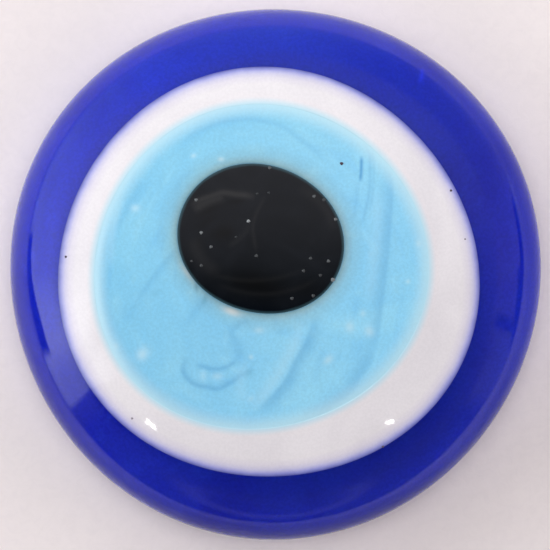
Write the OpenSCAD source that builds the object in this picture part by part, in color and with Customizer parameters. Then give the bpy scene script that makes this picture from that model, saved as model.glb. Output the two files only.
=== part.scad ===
// Evil eye ornament: a thick disc of fused glass, made of four gathers of coloured glass.
// Each gather is pressed into the one below it, so every layer sits in a pocket of the next.
// Frame: +Z points out of the eye's face, +Y is the eye's top, the origin is the centre of the flat back.

/* [Disc] */
// Diameter of the cobalt disc
disc_d = 60; // [50:1:70]
// Thickness at the crown, in the middle of the face
disc_h = 13.8; // [13.4:0.1:15.5]
// Radius of the rounded edge above the widest line
rim_r = 7; // [6:0.1:7.2]
// Radius of the rounded edge below the widest line
under_r = 4.6; // [4:0.1:5]

/* [White layer] */
// Mean radius of the white outline, as a share of the disc's radius
white_share = 0.765; // [0.7:0.001:0.78]
// Sideways offset of the white layer from the disc's axis
white_x = -0.8; // [-1.5:0.1:1.5]
// Upward offset of the white layer from the disc's axis
white_y = -0.2; // [-1.5:0.1:1.5]
// Height of the white layer's floor above the back
white_floor = 8.6; // [7.8:0.1:9]

/* [Iris] */
// Mean radius of the light blue outline, as a share of the disc's radius
iris_share = 0.605; // [0.54:0.001:0.63]
// Sideways offset of the iris from the disc's axis
iris_x = -1.7; // [-2:0.1:1]
// Upward offset of the iris from the disc's axis
iris_y = 0.5; // [-1.5:0.1:1.5]
// Height of the iris's floor above the back
iris_floor = 10.4; // [9.8:0.1:10.8]

/* [Pupil] */
// Mean radius of the black outline, as a share of the disc's radius
pupil_share = 0.289; // [0.2:0.001:0.31]
// Sideways offset of the pupil from the disc's axis
pupil_x = -1.6; // [-2:0.1:1]
// Upward offset of the pupil from the disc's axis
pupil_y = 3.7; // [0:0.1:4.5]
// Height of the pupil's floor above the back
pupil_floor = 11.9; // [11.3:0.1:12.1]

/* [Hidden] */
$fn = 180;

disc_r = disc_d / 2;
white_r = disc_r * white_share;
iris_r = disc_r * iris_share;
pupil_r = disc_r * pupil_share;

// Each outline is a circle with an oval share and a three-cornered share of its radius.
// A share is [amount, direction of its bulge in degrees].
white_oval = [0.015, -10];
white_corners = [0.015, -25];
iris_oval = [0.02, 20];
iris_corners = [0.015, -15];
pupil_oval = [0.07, -20];
pupil_corners = [0.005, -25];
outline_points = 120;

// The crown is part of a ball that meets the rounded rim without a crease.
rim_centre = disc_r - rim_r;
crown_rise = disc_h - under_r;
crown_r = (pow(rim_centre, 2) + pow(crown_rise, 2) - pow(rim_r, 2)) / (2 * (crown_rise - rim_r));
crown_z = disc_h - crown_r;
shoulder_r = rim_centre * crown_r / (crown_r - rim_r);

// Radius of an outline at an angle
function wobble(r, oval, corners, angle) =
    r * (1 + oval[0] * cos(2 * (angle - oval[1])) + corners[0] * cos(3 * (angle - corners[1])));

// Closed outline as evenly spaced points
function outline(r, oval, corners) = [
    for (i = [0 : outline_points - 1])
        let (angle = 360 * i / outline_points)
        wobble(r, oval, corners, angle) * [cos(angle), sin(angle)]
];

// Half section of the disc, to the right of its axis
module disc_section() {
    // domed face and the rounded rim above the widest line
    intersection() {
        translate([0, under_r]) square([disc_r, crown_rise]);
        union() {
            intersection() {
                square([shoulder_r, disc_h]);
                translate([0, crown_z]) circle(r = crown_r, $fn = 720);
            }
            translate([rim_centre, under_r]) circle(r = rim_r);
        }
    }
    // flat back and the rounded edge below the widest line
    square([disc_r - under_r, under_r]);
    intersection() {
        square([disc_r, under_r]);
        translate([disc_r - under_r, under_r]) circle(r = under_r);
    }
}

// The whole disc before any pocket is taken out of it
module disc_blank() {
    rotate_extrude() disc_section();
}

// Upright column over an outline, from a pocket's floor to past the crown
module column(x, y, floor_z, r, oval, corners) {
    translate([x, y, floor_z])
        linear_extrude(height = disc_h)
            polygon(outline(r, oval, corners));
}

module white_column() {
    column(white_x, white_y, white_floor, white_r, white_oval, white_corners);
}

module iris_column() {
    column(iris_x, iris_y, iris_floor, iris_r, iris_oval, iris_corners);
}

module pupil_column() {
    column(pupil_x, pupil_y, pupil_floor, pupil_r, pupil_oval, pupil_corners);
}

module cobalt_body() {
    color([0.09, 0.13, 0.60])
        difference() {
            disc_blank();
            white_column();
        }
}

module white_layer() {
    color([0.94, 0.93, 0.95])
        difference() {
            intersection() {
                disc_blank();
                white_column();
            }
            iris_column();
        }
}

module light_blue_iris() {
    color([0.57, 0.82, 0.94])
        difference() {
            intersection() {
                disc_blank();
                iris_column();
            }
            pupil_column();
        }
}

module black_pupil() {
    color([0.11, 0.11, 0.12])
        intersection() {
            disc_blank();
            pupil_column();
        }
}

cobalt_body();
white_layer();
light_blue_iris();
black_pupil();
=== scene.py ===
"""Evil eye ornament: a disc of four fused gathers of glass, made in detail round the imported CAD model.

Sizes are in millimetres until a mesh is written, and Blender's objects are in metres.
"""

import math

import bpy
import numpy as np
from mathutils import Matrix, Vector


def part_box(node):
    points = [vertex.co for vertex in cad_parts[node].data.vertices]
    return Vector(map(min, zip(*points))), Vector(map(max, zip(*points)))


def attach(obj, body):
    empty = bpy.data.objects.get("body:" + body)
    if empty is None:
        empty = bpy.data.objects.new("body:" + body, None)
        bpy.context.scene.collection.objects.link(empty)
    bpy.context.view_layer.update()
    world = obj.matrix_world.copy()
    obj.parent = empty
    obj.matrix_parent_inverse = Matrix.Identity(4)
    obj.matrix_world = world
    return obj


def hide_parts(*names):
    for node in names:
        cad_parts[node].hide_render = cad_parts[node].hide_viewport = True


MM = 0.001

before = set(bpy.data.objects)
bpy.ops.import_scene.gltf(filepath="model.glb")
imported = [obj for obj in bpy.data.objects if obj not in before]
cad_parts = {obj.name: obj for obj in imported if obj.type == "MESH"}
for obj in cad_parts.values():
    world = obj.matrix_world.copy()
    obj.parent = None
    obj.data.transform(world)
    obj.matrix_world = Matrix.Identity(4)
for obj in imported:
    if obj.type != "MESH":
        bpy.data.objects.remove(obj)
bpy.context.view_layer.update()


# ---------------------------------------------------------------- sizes

BODY_LOW, BODY_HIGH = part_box("cobalt_body")
DISC_R = (BODY_HIGH.x - BODY_LOW.x) / 2 / MM
CROWN_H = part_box("black_pupil")[1].z / MM
WHITE_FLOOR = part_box("white_layer")[0].z / MM
IRIS_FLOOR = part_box("light_blue_iris")[0].z / MM
PUPIL_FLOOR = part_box("black_pupil")[0].z / MM

RIM_R = 7.0
UNDER_R = 4.6
RIM_CENTRE = DISC_R - RIM_R
CROWN_RISE = CROWN_H - UNDER_R
CROWN_R = (RIM_CENTRE**2 + CROWN_RISE**2 - RIM_R**2) / (2 * (CROWN_RISE - RIM_R))
CROWN_Z = CROWN_H - CROWN_R
SHOULDER_R = RIM_CENTRE * CROWN_R / (CROWN_R - RIM_R)
SHOULDER_TILT = math.asin((SHOULDER_R - RIM_CENTRE) / RIM_R)
FOOT_R = DISC_R - UNDER_R

# The back: a slight hollow in the middle, and chill ripples
HOLLOW_DEPTH = 0.25
RIPPLE_HEIGHT = 0.035

STEPS_ROUND = 600
TURN = np.linspace(0, 2 * math.pi, STEPS_ROUND, endpoint=False)


class Outline:
    """A closed outline: a circle with an oval or three-cornered share of its radius.

    A wave is (how many bulges, its share of the radius, direction of a bulge in degrees).
    """

    def __init__(self, centre, radius, waves):
        self.centre = centre
        self.radius = radius
        self.waves = waves

    def reach(self, angle):
        swell = 0.0
        for count, share, direction in self.waves:
            swell = swell + share * np.cos(count * (angle - math.radians(direction)))
        return self.radius * (1 + swell)

    def points(self, angle=TURN, share=1.0):
        reach = self.reach(angle) * share
        return np.stack([self.centre[0] + reach * np.cos(angle), self.centre[1] + reach * np.sin(angle)], 1)

    def inside(self, x, y):
        """How far inside the outline each point lies, negative outside."""
        dx = x - self.centre[0]
        dy = y - self.centre[1]
        return self.reach(np.arctan2(dy, dx)) - np.hypot(dx, dy)


def outline_of(node, waves):
    """The outline with these waves that fills a CAD node's box."""
    low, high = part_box(node)
    unit = Outline((0.0, 0.0), 1.0, waves).points()
    first, last = unit.min(0), unit.max(0)
    radius = (high.x - low.x) / MM / (last[0] - first[0])
    middle_x = (high.x + low.x) / 2 / MM - radius * (first[0] + last[0]) / 2
    middle_y = (high.y + low.y) / 2 / MM - radius * (first[1] + last[1]) / 2
    return Outline((middle_x, middle_y), radius, waves)


DISC = Outline((0.0, 0.0), DISC_R, [(3, 0.007, 25)])
WHITE = outline_of("white_layer", [(2, 0.015, -10), (3, 0.015, -25)])
IRIS = outline_of("light_blue_iris", [(2, 0.02, 20), (3, 0.015, -15)])
PUPIL = outline_of("black_pupil", [(2, 0.07, -20), (3, 0.005, -25)])


# ---------------------------------------------------------------- the glass surface

# Slow waves that hot glass sets with: (height, wavelength, direction in degrees, phase)
SWELLS = [(0.030, 31.0, 20, 0.4), (0.022, 23.0, 105, 1.9), (0.016, 17.0, 62, 3.1), (0.010, 11.5, 150, 5.0)]
SEAM_DEPTH = 0.006
SEAM_WIDTH = 0.45


def swell(x, y):
    """Height of the slow waves on the glass."""
    total = np.zeros_like(x)
    for height, wavelength, direction, phase in SWELLS:
        along = x * math.cos(math.radians(direction)) + y * math.sin(math.radians(direction))
        total += height * np.sin(2 * math.pi * along / wavelength + phase)
    return total


def seams(x, y):
    """Depth of the faint valleys where one gather meets the next."""
    total = np.zeros_like(x)
    for outline in (WHITE, IRIS, PUPIL):
        total += SEAM_DEPTH * np.exp(-((outline.inside(x, y) / SEAM_WIDTH) ** 2))
    return total


def face_height(x, y):
    """Height of the domed face above the back."""
    round_r = np.hypot(x, y) * DISC_R / DISC.reach(np.arctan2(y, x))
    dome = CROWN_Z + np.sqrt(CROWN_R**2 - np.minimum(round_r, SHOULDER_R) ** 2)
    roll = UNDER_R + np.sqrt(np.maximum(RIM_R**2 - np.maximum(round_r - RIM_CENTRE, 0) ** 2, 0))
    return np.where(round_r < SHOULDER_R, dome, roll) + swell(x, y) - seams(x, y)


def on_face(flat):
    """Lifts flat points to the face."""
    return np.column_stack([flat, face_height(flat[:, 0], flat[:, 1])])


def face_rings(inner, outer, shares):
    """Rings across the face, from one outline to the next."""
    return [on_face(inner * (1 - share) + outer * share) for share in shares]


def bowl_rings(outline, floor, shares):
    """Rings of the bowl that a gather is pressed into: deep in the middle, feathering out at its edge."""
    rings = []
    edge = on_face(outline.points())[:, 2]
    for share in shares:
        height = floor + (edge - floor) * share**5
        rings.append(np.column_stack([outline.points(share=share), height]))
    return rings


def eased(count, first=0.0, last=1.0):
    """Shares from first to last, packed closer at both ends."""
    t = np.linspace(0, 1, count)
    return first + (last - first) * (0.5 * t + 0.5 * (1 - np.cos(math.pi * t)) / 2)


BOWL_SHARES = np.linspace(0.08, 1, 18)


def build(name, rings, first_pole, last_pole):
    """A closed solid from rings of points, each joined to the next, with a point closing each end."""
    count = STEPS_ROUND
    vertices = np.concatenate([[first_pole], *rings, [last_pole]])
    here = np.arange(count)
    after = (here + 1) % count
    quads = []
    for i in range(len(rings) - 1):
        inner = 1 + i * count
        outer = inner + count
        quads.append(np.stack([inner + here, outer + here, outer + after, inner + after], 1))
    last_ring = 1 + (len(rings) - 1) * count
    last = len(vertices) - 1
    fans = [(0, 1 + a, 1 + b) for a, b in zip(here, after)]
    fans += [(last_ring + a, last, last_ring + b) for a, b in zip(here, after)]
    mesh = bpy.data.meshes.new(name)
    mesh.from_pydata((vertices * MM).tolist(), [], np.concatenate(quads).tolist() + fans)
    mesh.polygons.foreach_set("use_smooth", [True] * len(mesh.polygons))
    mesh.set_sharp_from_angle(angle=math.radians(50))
    piece = bpy.data.objects.new(name, mesh)
    bpy.context.collection.objects.link(piece)
    return piece


def places_of(piece):
    """The piece's points in millimetres."""
    co = np.zeros(len(piece.data.vertices) * 3)
    piece.data.vertices.foreach_get("co", co)
    return co.reshape(-1, 3) / MM


def mark(piece, name, values):
    """Writes one number per point, for the materials to read."""
    layer = piece.data.attributes.new(name, "FLOAT", "POINT")
    layer.data.foreach_set("value", np.asarray(values, dtype=np.float32))


def seat(piece, node, material):
    """Puts a finished piece in a CAD node's place."""
    piece.data.materials.append(material)
    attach(piece, "root")
    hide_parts(node)


# ---------------------------------------------------------------- marks in the glass

# The face's marks are placed as they look from straight above, which enlarges them a little.
LOOK = 0.975


def smooth_path(points, steps=10):
    """A smooth curve through given points."""
    p = np.array(points, float) * LOOK
    p = np.vstack([2 * p[0] - p[1], p, 2 * p[-1] - p[-2]])
    out = []
    for i in range(1, len(p) - 2):
        a, b, c, d = p[i - 1 : i + 3]
        for t in np.linspace(0, 1, steps, endpoint=False):
            square = (2 * a - 5 * b + 4 * c - d) * t**2
            cube = (3 * b - a - 3 * c + d) * t**3
            out.append(0.5 * (2 * b + (c - a) * t + square + cube))
    out.append(p[-2])
    return np.array(out)


def streak(x, y, points, left, right, strength):
    """A streak along a path, fading at its two ends.

    left and right are its widths to each side of the way it runs.
    """
    path = smooth_path(points)
    best = np.full_like(x, 1e9)
    along = np.zeros_like(x)
    width = np.ones_like(x)
    for i in range(len(path) - 1):
        a, b = path[i], path[i + 1]
        ab = b - a
        px, py = x - a[0], y - a[1]
        t = np.clip((px * ab[0] + py * ab[1]) / (ab @ ab), 0, 1)
        away = np.hypot(px - t * ab[0], py - t * ab[1])
        nearer = away < best
        best = np.where(nearer, away, best)
        along = np.where(nearer, (i + t) / (len(path) - 1), along)
        width = np.where(nearer, np.where(ab[0] * py - ab[1] * px > 0, left, right), width)
    fade = np.clip(np.minimum(along, 1 - along) / 0.2, 0, 1) ** 0.7
    return strength * fade * np.exp(-((best / width) ** 2))


def spot(x, y, centre, size, strength, stretch=1.0, turn=0.0):
    """A soft-edged spot, longer one way if stretched."""
    dx = x - centre[0] * LOOK
    dy = y - centre[1] * LOOK
    c, s = math.cos(math.radians(turn)), math.sin(math.radians(turn))
    away = np.hypot((dx * c + dy * s) / stretch, -dx * s + dy * c)
    return strength * np.exp(-((away / size) ** 2))


# Darker threads drawn through the iris: (points, width to the left, width to the right, strength)
THREADS = [
    ([(4.7, -4.3), (4.0, -6.6), (3.35, -8.2), (2.3, -10.0), (1.5, -11.75), (0.45, -13.2),
      (-0.6, -14.4), (-2.1, -15.8)], 0.9, 0.24, 0.36),
    ([(12.2, 12.8), (13.05, 10.6), (13.1, 7.6), (12.85, 4.7), (12.6, 1.6), (12.3, -1.0),
      (11.95, -4.0), (11.4, -7.4), (10.4, -9.8)], 0.25, 1.0, 0.27),
    ([(11.4, -7.4), (10.6, -9.8), (9.5, -11.6), (8.5, -13.3), (7.0, -14.5), (5.5, -15.6),
      (3.0, -16.3)], 0.4, 1.0, 0.28),
    ([(9.75, 13.2), (9.72, 12.2), (9.68, 11.2), (9.55, 10.2)], 0.2, 0.16, 0.85),
    ([(9.5, 10.4), (9.3, 9.2), (9.15, 7.9), (8.95, 6.0)], 0.2, 0.3, 0.16),
    ([(10.2, 14.8), (10.65, 13.3), (10.72, 11.6), (10.6, 9.0), (10.15, 6.9), (9.7, 5.2),
    ], 0.22, 0.2, 0.25),
    ([(10.9, 14.2), (11.15, 12.2), (10.95, 8.6), (10.6, 6.6)], 0.2, 0.3, 0.16),
    ([(-10.6, 14.4), (-9.8, 15.2), (-7.9, 16.3), (-6.7, 16.8), (-5.1, 17.2), (-2.7, 17.3),
      (-0.9, 17.0), (0.7, 16.5), (1.8, 15.8), (2.8, 15.0), (4.1, 14.0), (5.5, 12.8), (6.9, 11.8),
    ], 0.4, 0.26, 0.2),
    ([(-5.6, -5.9), (-4.9, -6.9), (-4.2, -8.2), (-4.0, -9.2), (-4.8, -10.1)], 0.5, 0.6, 0.2),
    ([(-4.3, -9.6), (-4.8, -10.2), (-5.7, -10.7), (-6.9, -10.85), (-8.3, -10.55), (-9.0, -10.4),
    ], 0.26, 0.24, 0.4),
    ([(-10.1, -9.4), (-10.3, -10.3), (-10.4, -11.2), (-9.8, -12.1), (-8.9, -12.7), (-7.7, -12.95),
      (-6.5, -13.15), (-5.1, -12.5), (-3.8, -11.6), (-2.4, -10.9)], 0.4, 0.24, 0.4),
    ([(-15.6, -3.4), (-14.4, -1.4), (-12.5, 1.1), (-10.9, 2.9)], 0.25, 0.5, 0.22),
    ([(-17.2, -3.4), (-16.7, -4.8), (-15.4, -3.0), (-14.6, -1.4)], 0.4, 0.6, 0.12),
    ([(-7.9, -3.0), (-8.5, -3.8), (-9.4, -5.0), (-10.2, -6.2)], 0.4, 0.5, 0.18),
    ([(-2.8, -5.3), (-4.2, -6.0), (-5.6, -7.4)], 0.3, 0.4, 0.2),
    ([(5.7, -8.6), (5.0, -10.3), (4.4, -12.8)], 0.4, 0.5, 0.12),
    ([(-15.3, 11.0), (-15.6, 9.4), (-17.0, 6.6), (-18.2, 4.8)], 0.6, 0.6, 0.14),
    ([(-18.5, 5.2), (-19.2, 2.6), (-19.4, -0.6), (-19.2, -3.8), (-18.4, -6.6), (-17.0, -9.6),
      (-15.3, -12.0), (-13.2, -14.0), (-10.6, -15.7), (-7.6, -16.6), (-4.0, -17.0), (-0.8, -16.9),
    ], 0.7, 0.5, 0.16),
    ([(13.2, 12.2), (14.6, 9.9), (15.6, 7.6), (16.3, 5.0), (16.6, 2.0)], 0.6, 0.8, 0.12),
]
# Paler threads: (points, width to the left, width to the right, strength)
PALE_THREADS = [
    ([(3.0, -5.4), (2.3, -7.9), (1.0, -10.3), (0.0, -12.1), (-1.4, -14.0), (-2.8, -15.3),
    ], 0.5, 0.7, 0.2),
    ([(11.4, 9.6), (11.5, 5.0), (11.1, 0.5), (10.6, -3.5)], 0.7, 0.8, 0.12),
    ([(-3.2, -9.8), (-4.0, -12.6), (-3.2, -14.6)], 0.6, 0.6, 0.1),
    ([(-17.4, 8.4), (-18.0, 6.0), (-18.4, 3.2), (-18.5, 0.4)], 0.35, 0.4, 0.14),
]
# Milky spots: (place, size, strength, stretch, turn)
MILKY_SPOTS = [
    ((-15.0, -9.2), 0.6, 0.6, 1.2, 60),
    ((8.4, -6.1), 0.5, 0.5, 1.2, 90),
    ((10.6, -6.6), 0.5, 0.5, 1.2, 120),
    ((6.0, -9.8), 0.4, 0.5, 1.5, 45),
    ((-15.8, 7.3), 0.4, 0.5, 1.2, 0),
    ((-9.2, 13.2), 0.25, 0.5, 1.2, 30),
    ((-6.1, 12.8), 0.25, 0.5, 1.4, 0),
    ((-1.8, -6.5), 0.35, 0.4, 1.6, 0),
    ((-2.7, -9.5), 0.25, 0.5, 1.0, 0),
    ((-2.7, -14.2), 0.35, 0.3, 1.4, 30),
    ((-18.0, -8.3), 0.3, 0.3, 1.2, 90),
    ((16.2, 3.3), 0.3, 0.4, 1.2, 90),
    ((15.0, -1.0), 0.25, 0.5, 1.0, 0),
    ((10.9, 2.1), 0.5, 0.2, 1.0, 0),
    ((-8.1, -11.6), 0.35, 0.3, 1.5, 90),
    ((-6.5, -11.7), 0.35, 0.4, 1.6, 0),
    ((9.9, -4.6), 0.3, 0.4, 1.2, 90),
    ((-4.9, -4.4), 0.4, 0.9, 2.4, -20),
    ((-9.7, 0.0), 0.4, 0.6, 2.6, -50),
]
# Dark smudges: (place, size, strength, stretch, turn)
DARK_SPOTS = [
    ((-13.3, -2.2), 0.3, 0.15, 1.8, 30),
    ((-12.5, -1.0), 0.3, 0.1, 1.8, 20),
    ((-8.9, -1.6), 0.2, 0.4, 2.4, 100),
    ((-7.9, -3.0), 0.3, 0.3, 1.9, 70),
    ((-2.9, -11.3), 0.35, 0.2, 1.5, 40),
]

# Painted reflections: paler streaks in the black glass where it mirrors the bright room: (points, width to
# the left, width to the right, strength)
PALE_REFLECTION_STREAKS = [
    ([(-9.5, 7.4), (-8.6, 8.1), (-7.2, 8.6), (-5.9, 9.0), (-4.6, 8.85), (-3.2, 8.7), (-2.2, 8.5),
    ], 0.35, 0.34, 0.55),
    ([(-9.3, 7.0), (-8.2, 7.7), (-6.8, 8.3), (-5.6, 8.6)], 0.55, 0.5, 0.42),
    ([(-1.0, 8.8), (-1.7, 7.5), (-2.2, 6.4), (-2.5, 5.0), (-2.3, 3.4), (-2.1, 2.2)], 0.2, 0.22, 0.17),
    ([(-8.4, 0.2), (-6.0, -0.5), (-3.0, -0.9), (0.4, -0.6), (3.6, 0.4)], 0.3, 0.25, 0.1),
    ([(-6.6, -1.3), (-4.0, -2.1), (-1.0, -2.4), (2.4, -1.8), (5.0, -0.6)], 0.25, 0.3, 0.1),
    ([(-5.4, 2.9), (-4.2, 3.6), (-3.2, 4.7), (-2.8, 5.6)], 0.3, 0.25, 0.12),
    ([(2.6, 9.6), (4.6, 8.3), (6.0, 6.6), (6.6, 4.6)], 0.6, 0.5, 0.16),
    ([(-9.2, 4.0), (-8.8, 2.4), (-7.8, 1.0), (-6.2, -0.2)], 0.7, 0.8, 0.2),
]
# Painted reflections: deeper black patches where the black glass mirrors the dark viewer and phone above:
# (place, size, strength, stretch, turn)
DARK_REFLECTION_PATCHES = [
    ((-5.8, 4.5), 0.8, 0.9, 1.6, 10),
    ((-7.6, 5.9), 0.5, 0.5, 2.2, 40),
    ((-8.6, 3.4), 0.5, 0.4, 1.5, 90),
    ((-7.4, 7.1), 0.45, 0.7, 3.2, 28),
    ((-4.4, 8.0), 0.3, 0.6, 3.6, 8),
    ((-2.0, -1.4), 1.6, 0.9, 2.6, -8),
    ((3.4, -1.8), 1.2, 0.5, 2.0, 0),
]


# ---------------------------------------------------------------- node helpers


def add(tree, kind, inputs=None, **settings):
    """Adds a node. inputs maps sockets to plain values or to other nodes' outputs."""
    made = tree.nodes.new(kind)
    for name, value in settings.items():
        setattr(made, name, value)
    for key, value in (inputs or {}).items():
        if isinstance(value, bpy.types.NodeSocket):
            tree.links.new(value, made.inputs[key])
        else:
            made.inputs[key].default_value = value
    return made


def figure(tree, operation, a, b=0.0, clamp=False):
    return add(tree, "ShaderNodeMath", {0: a, 1: b}, operation=operation, use_clamp=clamp).outputs[0]


def spread(tree, value, low, high, out_low=0.0, out_high=1.0):
    """Maps a value smoothly from one range to another."""
    sockets = {"Value": value, "From Min": low, "From Max": high, "To Min": out_low, "To Max": out_high}
    return add(tree, "ShaderNodeMapRange", sockets, interpolation_type="SMOOTHSTEP").outputs[0]


def blend(tree, share, a, b, mode="MIX"):
    sockets = {0: share, 6: a, 7: b}
    return add(tree, "ShaderNodeMix", sockets, data_type="RGBA", blend_type=mode).outputs[2]


def ramp(tree, value, stops):
    """A colour ramp: stops are (place, colour)."""
    made = add(tree, "ShaderNodeValToRGB", {0: value})
    elements = made.color_ramp.elements
    while len(elements) < len(stops):
        elements.new(0.5)
    for element, (place, colour) in zip(elements, stops):
        element.position = place
        element.color = (*colour, 1.0)
    return made.outputs[0]


def attribute(tree, name):
    return add(tree, "ShaderNodeAttribute", attribute_name=name).outputs["Fac"]


def cloud(tree, size_mm, detail=3.0, where=None, roughness=0.5, warp=0.0):
    """Noise with features of about the given size on the object."""
    place = where or add(tree, "ShaderNodeTexCoord").outputs["Object"]
    sockets = {
        "Vector": place,
        "Scale": 1 / (size_mm * MM),
        "Detail": detail,
        "Roughness": roughness,
        "Distortion": warp,
    }
    return add(tree, "ShaderNodeTexNoise", sockets).outputs["Fac"]


def bump(tree, height, depth_mm, strength=1.0, normal=None):
    sockets = {"Height": height, "Distance": depth_mm * MM, "Strength": strength}
    if normal:
        sockets["Normal"] = normal
    return add(tree, "ShaderNodeBump", sockets).outputs[0]


def material(name):
    made = bpy.data.materials.new(name)
    made.use_nodes = True
    made.node_tree.nodes.clear()
    return made, made.node_tree


def glass(tree, colour, roughness, normal, depth_mm=0.0, spread_rgb=(1.0, 1.0, 1.0), share=0.0):
    """Polished coloured glass, with light going a little way in where share is set."""
    sockets = {"Base Color": colour, "Roughness": roughness, "Normal": normal, "IOR": 1.46}
    if share:
        sockets["Subsurface Weight"] = share
        sockets["Subsurface Scale"] = depth_mm * MM
        sockets["Subsurface Radius"] = spread_rgb
    shader = add(tree, "ShaderNodeBsdfPrincipled", sockets)
    out = add(tree, "ShaderNodeOutputMaterial")
    tree.links.new(shader.outputs[0], out.inputs[0])
    return shader


def polish(tree, smear=0.05):
    """Roughness of handled fire-polished glass: clear, with faint smears and wipe marks."""
    patches = spread(tree, cloud(tree, 9.0, 4.0, warp=1.2), 0.45, 0.75)
    wipes = spread(tree, cloud(tree, 1.6, 5.0, warp=0.6), 0.5, 0.9)
    both = figure(tree, "MULTIPLY", patches, wipes)
    return figure(tree, "ADD", figure(tree, "MULTIPLY", both, smear), 0.03)


def scale_colour(tree, colour, amount):
    """Makes a colour deeper or paler by a share."""
    shade = add(tree, "ShaderNodeCombineXYZ", {0: amount, 1: amount, 2: amount}).outputs[0]
    return blend(tree, 1.0, colour, shade, "MULTIPLY")


def grain(tree, colour, size_mm, low, high):
    """Fine unevenness of the colour itself: undissolved colour and tiny bubbles."""
    specks = cloud(tree, size_mm, 3.0, roughness=0.6)
    return scale_colour(tree, colour, spread(tree, specks, 0.3, 0.7, low, high))


def skin(tree, depth_mm=0.006):
    """The slight orange peel of glass that cooled in the open."""
    return bump(tree, cloud(tree, 3.2, 2.0), depth_mm)


# ---------------------------------------------------------------- materials


def cobalt_glass():
    made, tree = material("cobalt_glass")
    under = attribute(tree, "under")
    drift = spread(tree, cloud(tree, 22.0, 3.0, warp=0.8), 0.3, 0.7)
    fine = cloud(tree, 4.0, 4.0, warp=1.0)
    colour = blend(tree, drift, (0.0065, 0.0125, 0.325, 1), (0.0095, 0.0215, 0.40, 1))
    colour = blend(tree, spread(tree, fine, 0.55, 0.8, 0.0, 0.35), colour, (0.014, 0.032, 0.49, 1))
    # painted light and shade: the tint attribute makes the glass paler towards the upper left and darker
    # towards the lower right
    colour = scale_colour(tree, colour, attribute(tree, "tint"))
    colour = grain(tree, colour, 0.35, 0.88, 1.12)
    colour = blend(tree, figure(tree, "MULTIPLY", under, 0.6), colour, (0.02, 0.03, 0.22, 1))
    plate = cloud(tree, 0.5, 6.0, roughness=0.7)
    rub = figure(tree, "MULTIPLY", attribute(tree, "handled"), 0.08)
    polished = figure(tree, "ADD", polish(tree), rub)
    pressed = ramp(tree, plate, [(0.3, (0.32,) * 3), (0.7, (0.55,) * 3)])
    rough = blend(tree, under, polished, pressed)
    chill = bump(tree, plate, 0.03, normal=skin(tree))
    normal = add(
        tree, "ShaderNodeMix", {0: under, 4: skin(tree), 5: chill}, data_type="VECTOR"
    ).outputs[1]
    shader = glass(tree, colour, rough, normal, 8.0, (0.04, 0.08, 1.0), 0.8)
    # painted shade: the reflection is weakened on the upper rim towards the lower right
    gloss = spread(tree, attribute(tree, "reflection_shade"), 0.0, 1.0, 0.5, 0.2)
    tree.links.new(gloss, shader.inputs["Specular IOR Level"])
    return made


def white_glass():
    made, tree = material("white_glass")
    seam = attribute(tree, "seam")
    hole = attribute(tree, "hole")
    drift = spread(tree, cloud(tree, 12.0, 4.0, warp=1.0), 0.3, 0.7)
    colour = blend(tree, drift, (0.735, 0.72, 0.75, 1), (0.79, 0.775, 0.80, 1))
    uneven = spread(tree, cloud(tree, 2.6, 3.0), 0.25, 0.75, -0.06, 0.06)
    edge = figure(tree, "ADD", seam, uneven)
    tint = ramp(
        tree,
        figure(tree, "DIVIDE", edge, 1.9),
        [
            (0.0, (0.13, 0.15, 0.52)),
            (0.053, (0.21, 0.24, 0.65)),
            (0.158, (0.38, 0.41, 0.83)),
            (0.28, (0.59, 0.61, 0.93)),
            (0.395, (0.755, 0.76, 0.95)),
            (0.63, (0.915, 0.905, 0.974)),
            (1.0, (1.0, 1.0, 1.0)),
        ],
    )
    colour = blend(tree, 1.0, colour, tint, "MULTIPLY")
    colour = grain(tree, colour, 0.3, 0.97, 1.02)
    near_iris = spread(tree, hole, -0.3, 0.95, 1.0, 0.0)
    colour = blend(tree, near_iris, colour, (0.43, 0.72, 0.84, 1))
    glass(tree, colour, polish(tree), skin(tree))
    return made


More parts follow.
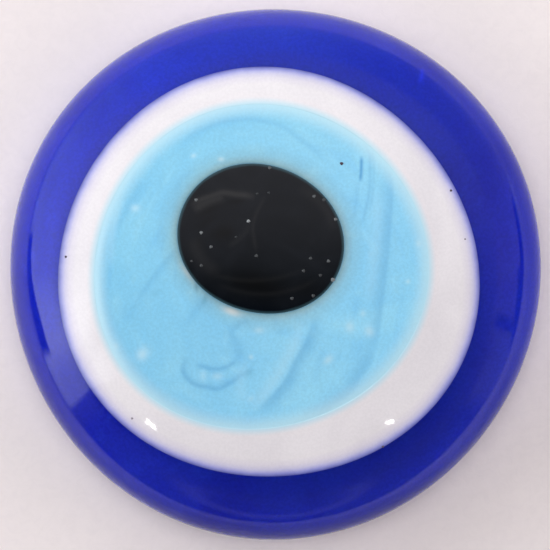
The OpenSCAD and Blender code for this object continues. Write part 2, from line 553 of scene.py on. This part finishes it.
def iris_glass():
    made, tree = material("light_blue_glass")
    seam = attribute(tree, "seam")
    hole = attribute(tree, "hole")
    ways = {0: attribute(tree, "across"), 1: attribute(tree, "along")}
    flow = add(tree, "ShaderNodeCombineXYZ", ways).outputs[0]
    drift = cloud(tree, 14.0, 4.0, warp=1.2)
    grainy = cloud(tree, 1.8, 4.0, roughness=0.6)
    sockets = {"Vector": flow, "Scale": 1.0, "Detail": 5.0, "Distortion": 0.6}
    drawn = add(tree, "ShaderNodeTexNoise", sockets).outputs["Fac"]
    colour = blend(tree, spread(tree, drift, 0.3, 0.7), (0.215, 0.53, 0.735, 1), (0.26, 0.58, 0.745, 1))
    colour = blend(tree, spread(tree, drawn, 0.55, 0.8, 0.0, 0.5), colour, (0.175, 0.475, 0.72, 1))
    colour = blend(tree, spread(tree, drawn, 0.25, 0.45, 0.35, 0.0), colour, (0.31, 0.62, 0.755, 1))
    colour = blend(tree, spread(tree, grainy, 0.55, 0.8, 0.0, 0.2), colour, (0.34, 0.66, 0.765, 1))
    place = add(tree, "ShaderNodeSeparateXYZ", {0: add(tree, "ShaderNodeTexCoord").outputs["Object"]})
    slope = figure(tree, "SUBTRACT", place.outputs[0], place.outputs[1])
    fade = ramp(
        tree,
        figure(tree, "ADD", figure(tree, "MULTIPLY", slope, 1 / (46 * MM)), 0.5),
        [
            (0.0, (0.94, 1.04, 1.065)),
            (0.3, (1.0, 1.075, 1.10)),
            (0.6, (1.10, 1.14, 1.155)),
            (1.0, (1.15, 1.22, 1.245)),
        ],
    )
    colour = blend(tree, 1.0, colour, fade, "MULTIPLY")
    colour = grain(tree, colour, 0.3, 0.95, 1.045)
    colour = blend(tree, attribute(tree, "thread"), colour, (0.07, 0.305, 0.60, 1))
    colour = blend(tree, attribute(tree, "pale"), colour, (0.55, 0.79, 0.88, 1))
    colour = blend(tree, attribute(tree, "smudge"), colour, (0.05, 0.22, 0.36, 1))
    ring = ramp(
        tree,
        figure(tree, "DIVIDE", hole, 2.4),
        [
            (0.0, (0.46, 0.42, 0.42)),
            (0.1, (0.90, 0.66, 0.56)),
            (0.2, (1.0, 0.76, 0.68)),
            (0.42, (1.02, 0.89, 0.84)),
            (1.0, (1.02, 0.99, 0.99)),
        ],
    )
    colour = blend(tree, 1.0, colour, ring, "MULTIPLY")
    colour = blend(tree, spread(tree, seam, -0.3, 1.9, 0.72, 0.0), colour, (0.54, 0.77, 0.84, 1))
    glass(tree, colour, polish(tree), skin(tree))
    return made


def pupil_glass():
    made, tree = material("black_glass")
    seam = attribute(tree, "seam")
    drift = spread(tree, cloud(tree, 6.0, 4.0, warp=1.0), 0.35, 0.7)
    colour = blend(tree, drift, (0.0022, 0.0034, 0.0055, 1), (0.0048, 0.0065, 0.0096, 1))
    # painted reflections: deeper black where the glass mirrors the dark viewer and phone, paler streaks
    # where it mirrors the bright room
    colour = blend(tree, attribute(tree, "deep"), colour, (0.0006, 0.0007, 0.001, 1))
    colour = blend(tree, attribute(tree, "pale_reflection"), colour, (0.034, 0.034, 0.034, 1))
    ragged = figure(tree, "MULTIPLY", cloud(tree, 2.5), 0.2)
    rim = spread(tree, figure(tree, "SUBTRACT", seam, ragged), -0.1, 0.28, 0.7, 0.0)
    colour = blend(tree, rim, colour, (0.035, 0.085, 0.105, 1))
    glass(tree, colour, polish(tree), skin(tree))
    return made


def bubble_glass():
    made, tree = material("bubble_glass")
    tone = attribute(tree, "tone")
    milky = blend(tree, cloud(tree, 0.8, 2.0), (0.52, 0.60, 0.63, 1), (0.80, 0.86, 0.88, 1))
    colour = blend(tree, tone, (0.006, 0.0065, 0.0075, 1), milky)
    rough = spread(tree, cloud(tree, 0.3, 2.0), 0.3, 0.7, 0.3, 0.5)
    glass(tree, colour, rough, bump(tree, cloud(tree, 0.2, 2.0), 0.01))
    return made


def grit():
    made, tree = material("grit")
    colour = blend(tree, cloud(tree, 0.2, 2.0), (0.02, 0.016, 0.03, 1), (0.09, 0.06, 0.08, 1))
    colour = blend(tree, attribute(tree, "tone"), colour, (0.55, 0.52, 0.6, 1))
    rough = spread(tree, cloud(tree, 0.1, 2.0), 0.3, 0.7, 0.5, 0.85)
    glass(tree, colour, rough, bump(tree, cloud(tree, 0.08, 2.0), 0.02))
    return made


def paper():
    made, tree = material("paper")
    fibres = cloud(tree, 1.2, 6.0, roughness=0.7, warp=0.8)
    mottle = cloud(tree, 18.0, 4.0)
    colour = blend(tree, spread(tree, mottle, 0.3, 0.7), (0.84, 0.785, 0.775, 1), (0.87, 0.815, 0.80, 1))
    colour = blend(tree, spread(tree, fibres, 0.35, 0.75, 0.0, 0.5), colour, (0.79, 0.74, 0.735, 1))
    rough = spread(tree, fibres, 0.3, 0.7, 0.75, 0.9)
    shader = glass(tree, colour, rough, bump(tree, fibres, 0.02))
    shader.inputs["Specular IOR Level"].default_value = 0.2
    return made


# ---------------------------------------------------------------- the four gathers


def make_cobalt_body():
    white_edge = WHITE.points()
    shoulder = DISC.points(share=SHOULDER_R / DISC_R)
    rings = bowl_rings(WHITE, WHITE_FLOOR, BOWL_SHARES)
    rings += face_rings(white_edge, shoulder, eased(14)[1:])
    swing = DISC.reach(TURN) / DISC_R
    lift = swell(shoulder[:, 0], shoulder[:, 1])
    direction = np.stack([np.cos(TURN), np.sin(TURN)], 1)
    for tilt in np.linspace(SHOULDER_TILT, math.pi / 2, 40)[1:]:
        reach = (RIM_CENTRE + RIM_R * math.sin(tilt)) * swing
        height = UNDER_R + RIM_R * math.cos(tilt) + lift * math.cos(tilt) ** 2
        rings.append(np.column_stack([direction * reach[:, None], height]))
    for tilt in np.linspace(0, math.pi / 2, 22)[1:]:
        reach = (FOOT_R + UNDER_R * math.cos(tilt)) * swing
        height = UNDER_R * (1 - math.sin(tilt)) * np.ones(STEPS_ROUND)
        rings.append(np.column_stack([direction * reach[:, None], height]))
    # chill ripples of the plate it was pressed on, rising into a slight hollow in the middle
    for share in np.linspace(1, 0, 40)[1:-1]:
        flat = direction * (FOOT_R * share * swing)[:, None]
        hollow = HOLLOW_DEPTH * (1 - share**2) ** 2
        ripple = RIPPLE_HEIGHT * (1 + np.sin(share * 60 + 0.8 * np.sin(3 * TURN + 1))) * (1 - share**8)
        rings.append(np.column_stack([flat, hollow + ripple]))
    piece = build("cobalt_body_glass", rings, (*WHITE.centre, WHITE_FLOOR), (0, 0, HOLLOW_DEPTH))
    x, y, z = places_of(piece).T
    round_r = np.hypot(x, y)
    under = np.clip((UNDER_R * 0.35 - z) / (UNDER_R * 0.3), 0, 1) * (round_r <= FOOT_R + UNDER_R)
    mark(piece, "under", under)
    # painted light and shade: the glass colour is made paler near the white layer and towards the upper
    # left and the right, a little paler towards the lower left across the middle of the rim, and darker at
    # the outer edge and towards the lower right, standing in for light from the upper left and light
    # carried through the glass
    turn = np.degrees(np.arctan2(y, x))
    share = round_r / DISC_R
    inner = np.clip((0.9 - share) / 0.07, 0, 1)
    edge = np.clip((share - 0.93) / 0.05, 0, 1)
    tint = inner * (1.04 + 0.28 * np.cos(np.radians(turn - 150)) + 0.09 * np.cos(np.radians(2 * turn)))
    tint += (1 - inner - edge) * (1.02 + 0.09 * np.cos(np.radians(turn - 245)))
    tint += edge * (0.8 + 0.04 * np.cos(np.radians(turn)) - 0.15 * np.exp(-(((turn + 60) / 22) ** 2)))
    tint += 0.14 * np.exp(-(((turn - 5) / 22) ** 2))
    # a short pale streak near the upper right edge
    tint += spot(x, y, (16.7, 22.4), 0.26, 0.7, 3.0, 80) * (z > UNDER_R)
    mark(piece, "tint", tint)
    # the upper edge has lost a little polish; painted shade: its reflection is also made weaker towards the
    # lower right, standing in for the shade on what it mirrors there
    handled = np.clip((share - 0.92) / 0.03, 0, 1) * np.clip((z - UNDER_R) / 2.0, 0, 1)
    mark(piece, "handled", handled)
    mark(piece, "reflection_shade", handled * np.clip(0.66 - 0.75 * np.cos(np.radians(turn - 133)), 0, 1))
    seat(piece, "cobalt_body", cobalt_glass())


def make_white_layer():
    rings = bowl_rings(IRIS, IRIS_FLOOR, BOWL_SHARES)
    rings += face_rings(IRIS.points(), WHITE.points(), eased(30)[1:])
    rings += bowl_rings(WHITE, WHITE_FLOOR, BOWL_SHARES)[::-1][1:]
    piece = build("white_layer_glass", rings, (*IRIS.centre, IRIS_FLOOR), (*WHITE.centre, WHITE_FLOOR))
    x, y = places_of(piece).T[:2]
    mark(piece, "seam", WHITE.inside(x, y))
    mark(piece, "hole", -IRIS.inside(x, y))
    seat(piece, "white_layer", white_glass())


def make_iris():
    rings = bowl_rings(PUPIL, PUPIL_FLOOR, BOWL_SHARES)
    rings += face_rings(PUPIL.points(), IRIS.points(), eased(84)[1:])
    rings += bowl_rings(IRIS, IRIS_FLOOR, BOWL_SHARES)[::-1][1:]
    piece = build("light_blue_iris_glass", rings, (*PUPIL.centre, PUPIL_FLOOR), (*IRIS.centre, IRIS_FLOOR))
    x, y = places_of(piece).T[:2]
    mark(piece, "seam", IRIS.inside(x, y))
    mark(piece, "hole", -PUPIL.inside(x, y))
    thread = np.zeros_like(x)
    for points, left, right, strength in THREADS:
        thread = np.maximum(thread, streak(x, y, points, left, right, strength))
    mark(piece, "thread", thread)
    pale = np.zeros_like(x)
    for points, left, right, strength in PALE_THREADS:
        pale = np.maximum(pale, streak(x, y, points, left, right, strength))
    for place, size, strength, stretch, turn in MILKY_SPOTS:
        pale = np.maximum(pale, spot(x, y, place, size, strength, stretch, turn))
    mark(piece, "pale", pale)
    smudge = np.zeros_like(x)
    for place, size, strength, stretch, turn in DARK_SPOTS:
        smudge = np.maximum(smudge, spot(x, y, place, size, strength, stretch, turn))
    mark(piece, "smudge", smudge)
    # the gather was turned as it was pressed, so its colour is drawn out round a point low in the iris
    dx, dy = x + 1.0, y + 2.0
    mark(piece, "across", np.hypot(dx, dy * 0.9) * 0.55)
    mark(piece, "along", np.arctan2(dy, dx) * 2.2 + np.hypot(dx, dy) * 0.05)
    seat(piece, "light_blue_iris", iris_glass())


def make_pupil():
    centre = np.tile(PUPIL.centre, (STEPS_ROUND, 1))
    rings = face_rings(centre, PUPIL.points(), eased(70)[1:])
    rings += bowl_rings(PUPIL, PUPIL_FLOOR, BOWL_SHARES)[::-1][1:]
    top = float(face_height(np.array([PUPIL.centre[0]]), np.array([PUPIL.centre[1]]))[0])
    piece = build("black_pupil_glass", rings, (*PUPIL.centre, top), (*PUPIL.centre, PUPIL_FLOOR))
    x, y = places_of(piece).T[:2]
    mark(piece, "seam", PUPIL.inside(x, y))
    # painted reflections: paler streaks and deeper black patches where the black glass mirrors the bright
    # room and the dark viewer and phone above
    pale_reflection = np.zeros_like(x)
    for points, left, right, strength in PALE_REFLECTION_STREAKS:
        pale_reflection = np.maximum(pale_reflection, streak(x, y, points, left, right, strength))
    mark(piece, "pale_reflection", pale_reflection)
    deep = np.zeros_like(x)
    for place, size, strength, stretch, turn in DARK_REFLECTION_PATCHES:
        deep = np.maximum(deep, spot(x, y, place, size, strength, stretch, turn))
    mark(piece, "deep", deep)
    seat(piece, "black_pupil", pupil_glass())


make_cobalt_body()
make_white_layer()
make_iris()
make_pupil()


# ---------------------------------------------------------------- bubbles and grit

# Places as seen from above, with the radius of each and how milky it is
PUPIL_SEEDS = [
    (-8.9, 8.2, 0.2, 0.15), (-8.3, 4.5, 0.2, 0.2), (-7.2, 2.9, 0.2, 0.1), (-3.0, 5.8, 0.2, 0.3),
    (-2.1, 1.9, 0.2, 0.05), (-4.4, 4.0, 0.15, 0.02), (4.4, 8.6, 0.2, 0.1), (5.5, 8.2, 0.2, 0.05),
    (6.8, 6.0, 0.2, 0.15), (6.0, 1.3, 0.2, 0.1), (4.0, 1.6, 0.2, 0.05), (3.2, 0.2, 0.2, 0.05),
    (1.9, -2.9, 0.2, 0.05), (4.3, -2.6, 0.2, 0.05), (-0.6, 11.8, 0.2, 0.1), (-8.3, 0.8, 0.2, 0.05),
    (-9.4, 1.3, 0.15, 0.05), (-0.7, 9.0, 0.15, 0.03), (-2.0, 8.9, 0.15, 0.03),
    (5.1, -0.3, 0.2, 0.03), (6.5, -0.8, 0.25, 0.2),
]
GRIT = [
    (7.5, 12.3, 0.2, 0.0), (-23.7, 1.8, 0.15, 0.0), (-16.2, -16.5, 0.15, 0.5),
    (19.9, 9.3, 0.15, 0.0), (21.5, 3.8, 0.1, 0.1), (12.2, -19.7, 0.15, 0.05),
]


def make_inclusions(name, places, squash, look):
    """Small rounded lumps set half into the face."""
    vertices = []
    faces = []
    rings, around = 6, 10
    tones = []
    for order, (x, y, radius, tone) in enumerate(places):
        x, y = x * LOOK, y * LOOK
        z = float(face_height(np.array([x]), np.array([y]))[0])
        start = len(vertices)
        vertices.append((x, y, z + radius * squash))
        for i in range(1, rings):
            polar = math.pi * i / rings
            for j in range(around):
                turn = 2 * math.pi * j / around + order
                swing = radius * math.sin(polar) * (1 + 0.12 * math.sin(3 * turn + order))
                height = z + radius * squash * math.cos(polar)
                vertices.append((x + swing * math.cos(turn), y + swing * math.sin(turn) * 0.9, height))
        vertices.append((x, y, z - radius * squash))
        tones += [tone] * (len(vertices) - start)
        for j in range(around):
            k = (j + 1) % around
            faces.append((start, start + 1 + j, start + 1 + k))
            for i in range(rings - 2):
                a = start + 1 + i * around
                b = a + around
                faces.append((a + j, b + j, b + k, a + k))
            last = start + 1 + (rings - 2) * around
            faces.append((last + j, start + 1 + (rings - 1) * around, last + k))
    mesh = bpy.data.meshes.new(name)
    mesh.from_pydata((np.array(vertices) * MM).tolist(), [], faces)
    mesh.polygons.foreach_set("use_smooth", [True] * len(mesh.polygons))
    piece = bpy.data.objects.new(name, mesh)
    bpy.context.collection.objects.link(piece)
    mark(piece, "tone", tones)
    piece.data.materials.append(look)
    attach(piece, "root")


make_inclusions("pupil_seed_bubbles", PUPIL_SEEDS, 0.16, bubble_glass())
make_inclusions("grit_specks", GRIT, 0.3, grit())


# ---------------------------------------------------------------- floor, light and camera

FLOOR_R = 850
FLOOR_SIDES = 96
floor_mesh = bpy.data.meshes.new("paper_sheet")
floor_turn = np.linspace(0, 2 * math.pi, FLOOR_SIDES, endpoint=False)
floor_edge = np.stack([np.cos(floor_turn), np.sin(floor_turn), np.zeros(FLOOR_SIDES)], 1) * FLOOR_R * MM
floor_mesh.from_pydata(floor_edge.tolist(), [], [tuple(range(FLOOR_SIDES))])
floor = bpy.data.objects.new("paper_sheet", floor_mesh)
bpy.context.collection.objects.link(floor)
floor_mesh.materials.append(paper())


def window(tree, angle, low, high, soft_low, soft_high):
    """1 between two angles and 0 outside them, with soft ends."""
    rise = spread(tree, angle, low - soft_low, low + soft_low)
    fall = spread(tree, angle, high - soft_high, high + soft_high, 1.0, 0.0)
    return figure(tree, "MULTIPLY", rise, fall)


def make_room():
    """An invented room for the reflections: bright window, dim walls, a darker side for the viewer."""
    world = bpy.data.worlds.new("room")
    world.use_nodes = True
    tree = world.node_tree
    tree.nodes.clear()
    way = add(tree, "ShaderNodeTexCoord").outputs["Generated"]
    parts = add(tree, "ShaderNodeSeparateXYZ", {0: way})
    x, y, z = parts.outputs
    height = figure(tree, "MULTIPLY", figure(tree, "ARCSINE", z), 180 / math.pi)
    # degrees from 0 to 360, with 270 towards the viewer's side
    turn = figure(tree, "MULTIPLY", figure(tree, "ARCTAN2", y, x), 180 / math.pi)
    turn = figure(tree, "ADD", turn, figure(tree, "MULTIPLY", figure(tree, "LESS_THAN", turn, 0.0), 360.0))
    walls = ramp(
        tree,
        figure(tree, "DIVIDE", turn, 360.0),
        [
            (0.0, (0.54, 0.42, 0.50)),
            (0.10, (0.36, 0.35, 0.38)),
            (0.17, (0.20, 0.24, 0.27)),
            (0.25, (0.50, 0.72, 0.76)),
            (0.35, (0.54, 0.68, 0.72)),
            (0.58, (0.56, 0.57, 0.62)),
            (0.61, (0.10, 0.10, 0.12)),
            (0.75, (0.13, 0.12, 0.14)),
            (0.92, (0.16, 0.15, 0.17)),
            (1.0, (0.54, 0.42, 0.50)),
        ],
    )
    overhead = ramp(
        tree,
        figure(tree, "ADD", figure(tree, "MULTIPLY", y, 0.5), 0.5),
        [
            (0.45, (0.0, 0.0, 0.0)),
            (0.50, (0.14, 0.145, 0.15)),
            (0.56, (0.47, 0.46, 0.49)),
            (0.64, (0.7, 0.68, 0.72)),
        ],
    )
    room = blend(tree, spread(tree, height, 55.0, 72.0), walls, overhead)
    # the window is brightest near its right-hand end, and higher up
    pane = ramp(
        tree,
        figure(tree, "DIVIDE", turn, 360.0),
        [
            (122 / 360, (0.0, 0.0, 0.0)),
            (135 / 360, (0.42, 0.43, 0.50)),
            (150 / 360, (0.9, 0.92, 1.08)),
            (165 / 360, (1.25, 1.28, 1.55)),
            (180 / 360, (1.65, 1.7, 2.05)),
            (188 / 360, (2.6, 2.7, 3.1)),
            (198 / 360, (3.0, 3.1, 3.5)),
            (206 / 360, (1.8, 1.85, 2.2)),
            (212.5 / 360, (1.6, 1.65, 1.9)),
            (213.5 / 360, (0.0, 0.0, 0.0)),
        ],
    )
    lift = spread(tree, height, 35.0, 58.0, 0.95, 1.95)
    lift = figure(tree, "MULTIPLY", lift, spread(tree, height, 3.0, 15.0, 0.6, 1.0))
    lit = figure(tree, "MULTIPLY", window(tree, height, 2.0, 67.0, 1.5, 3.5), lift)
    room = blend(tree, lit, room, pane, "ADD")
    # the viewer, dim against the room
    ring_x = figure(tree, "DIVIDE", figure(tree, "SUBTRACT", turn, 270.0), 26.0)
    ring_y = figure(tree, "DIVIDE", figure(tree, "SUBTRACT", height, 41.0), 27.0)
    ring_place = add(tree, "ShaderNodeCombineXYZ", {0: ring_x, 1: ring_y}).outputs[0]
    ring_away = add(tree, "ShaderNodeVectorMath", {0: ring_place}, operation="LENGTH").outputs["Value"]
    ring_band = window(tree, ring_away, 0.72, 1.02, 0.12, 0.15)
    ring = figure(tree, "MULTIPLY", ring_band, spread(tree, height, 44.0, 57.0, 0.85, 0.0))
    room = blend(tree, ring, room, (0.40, 0.38, 0.42, 1))
    # a pale card to the lower right, with a dark slit beside it
    card_width = window(tree, turn, 328.0, 344.0, 3.0, 0.8)
    card = figure(tree, "MULTIPLY", card_width, window(tree, height, 3.0, 44.0, 1.5, 7.0))
    room = blend(tree, figure(tree, "MULTIPLY", card, 0.75), room, (0.50, 0.46, 0.56, 1))
    slit_width = window(tree, turn, 344.8, 347.5, 0.6, 0.6)
    slit = figure(tree, "MULTIPLY", slit_width, window(tree, height, 3.0, 52.0, 1.5, 6.0))
    room = blend(tree, figure(tree, "MULTIPLY", slit, 0.8), room, (0.03, 0.03, 0.04, 1))
    # the far wall is a little paler low down
    glow_width = window(tree, turn, 15.0, 130.0, 12.0, 12.0)
    glow = figure(tree, "MULTIPLY", glow_width, spread(tree, height, 3.0, 22.0, 1.0, 0.0))
    room = blend(tree, glow, room, (0.13, 0.14, 0.15, 1), "ADD")
    # dim gaps low down to the left and right
    left_side = window(tree, turn, 172.0, 200.0, 1.5, 2.0)
    right_side = spread(tree, x, 0.935, 0.96)
    top = spread(tree, turn, 177.0, 193.0, 12.0, 22.0)
    low = window(tree, figure(tree, "DIVIDE", height, top), 0.15, 1.0, 0.1, 0.12)
    gap = figure(tree, "MULTIPLY", figure(tree, "ADD", left_side, right_side, clamp=True), low)
    room = blend(tree, gap, room, (0.03, 0.03, 0.035, 1))
    # low down, the wall runs pale into the floor
    sweep = ramp(
        tree,
        figure(tree, "DIVIDE", figure(tree, "ADD", height, 2.0), 6.0),
        [(0.1, (1.0, 0.97, 0.98)), (0.4, (0.70, 0.67, 0.69)), (0.9, (0.52, 0.49, 0.51))],
    )
    room = blend(tree, spread(tree, height, 2.7, 3.9, 1.0, 0.0), room, sweep)
    shade = add(tree, "ShaderNodeBackground", {"Color": room, "Strength": 1.0})
    out = add(tree, "ShaderNodeOutputWorld")
    tree.links.new(shade.outputs[0], out.inputs[0])
    # the room shows in the glass, and the soft lamps below light the colours
    world.cycles_visibility.diffuse = False
    bpy.context.scene.world = world


def aim(thing, target):
    away = np.array(thing.location) - np.array(target)
    flat = math.hypot(away[0], away[1])
    thing.rotation_euler = (math.atan2(flat, away[2]), 0, math.atan2(away[0], -away[1]))


def lamp(name, place_mm, size_mm, power, colour, mirrored=True, spin=0.0):
    """A flat oval lamp aimed at the glass, turned by spin degrees in its own plane."""
    light = bpy.data.lights.new(name, "AREA")
    light.shape = "ELLIPSE"
    light.size, light.size_y = size_mm[0] * MM, size_mm[1] * MM
    light.energy = power
    light.color = colour
    made = bpy.data.objects.new(name, light)
    made.location = [v * MM for v in place_mm]
    aim(made, (0, 0, 0))
    turned = made.rotation_euler.to_matrix() @ Matrix.Rotation(math.radians(spin), 3, "Z")
    made.rotation_euler = turned.to_euler()
    made.visible_glossy = mirrored
    made.visible_camera = False
    bpy.context.collection.objects.link(made)


def from_angles(azimuth, height, away):
    flat = away * math.cos(math.radians(height))
    a = math.radians(azimuth)
    return (flat * math.cos(a), flat * math.sin(a), away * math.sin(math.radians(height)))


make_room()
# Soft lamps: (name, azimuth, elevation, power in multiples of SOFT_POWER, colour)
SOFT_LAMPS = [
    ("soft_right", 0, 15, 1.1, (1.0, 0.90, 0.93)),
    ("soft_upper_right", 45, 15, 0.84, (1.0, 0.96, 0.98)),
    ("soft_top", 90, 22, 0.8, (1.0, 0.99, 1.0)),
    ("soft_upper_left", 135, 16, 1.95, (1.0, 0.99, 1.0)),
    ("soft_left", 180, 15, 1.52, (1.0, 0.99, 1.0)),
    ("soft_low", 270, 14, 0.56, (1.0, 0.82, 0.87)),
    ("soft_overhead", 90, 88, 1.2, (1.0, 0.98, 0.985)),
]
SOFT_POWER = 9
SOFT_AWAY = 1500
SOFT_SIZE = (1200, 1200)
for name, azimuth, elevation, strength, colour in SOFT_LAMPS:
    place = from_angles(azimuth, elevation, SOFT_AWAY)
    lamp(name, place, SOFT_SIZE, SOFT_POWER * strength, colour, mirrored=False)
CEILING_AWAY = 800
LAMP_COLOUR = (1.0, 0.99, 0.97)
lamp("ceiling_lamp_left", from_angles(230.5, 65.8, CEILING_AWAY), (8, 8), 0.01, LAMP_COLOUR)
lamp("ceiling_lamp_left_tube", from_angles(232.4, 65.75, CEILING_AWAY), (11, 5), 0.01, LAMP_COLOUR)
lamp("ceiling_lamp_right", from_angles(307.9, 66.05, CEILING_AWAY), (17, 6), 0.015, LAMP_COLOUR, spin=-35)

VIEW_WIDTH = 62.23
VIEW_AWAY = 300.0
SENSOR_WIDTH = 36.0
CAMERA_X = -0.01
CAMERA_Y = -0.255
camera_data = bpy.data.cameras.new("camera")
camera_data.sensor_width = SENSOR_WIDTH
camera_data.lens = camera_data.sensor_width * VIEW_AWAY / VIEW_WIDTH
camera_data.clip_start = 0.01
camera_data.clip_end = 10.0
camera = bpy.data.objects.new("camera", camera_data)
camera.location = (CAMERA_X * MM, CAMERA_Y * MM, (UNDER_R + VIEW_AWAY) * MM)
bpy.context.collection.objects.link(camera)
bpy.context.scene.camera = camera

bpy.context.scene.view_settings.view_transform = "Standard"
bpy.context.scene.view_settings.look = "None"
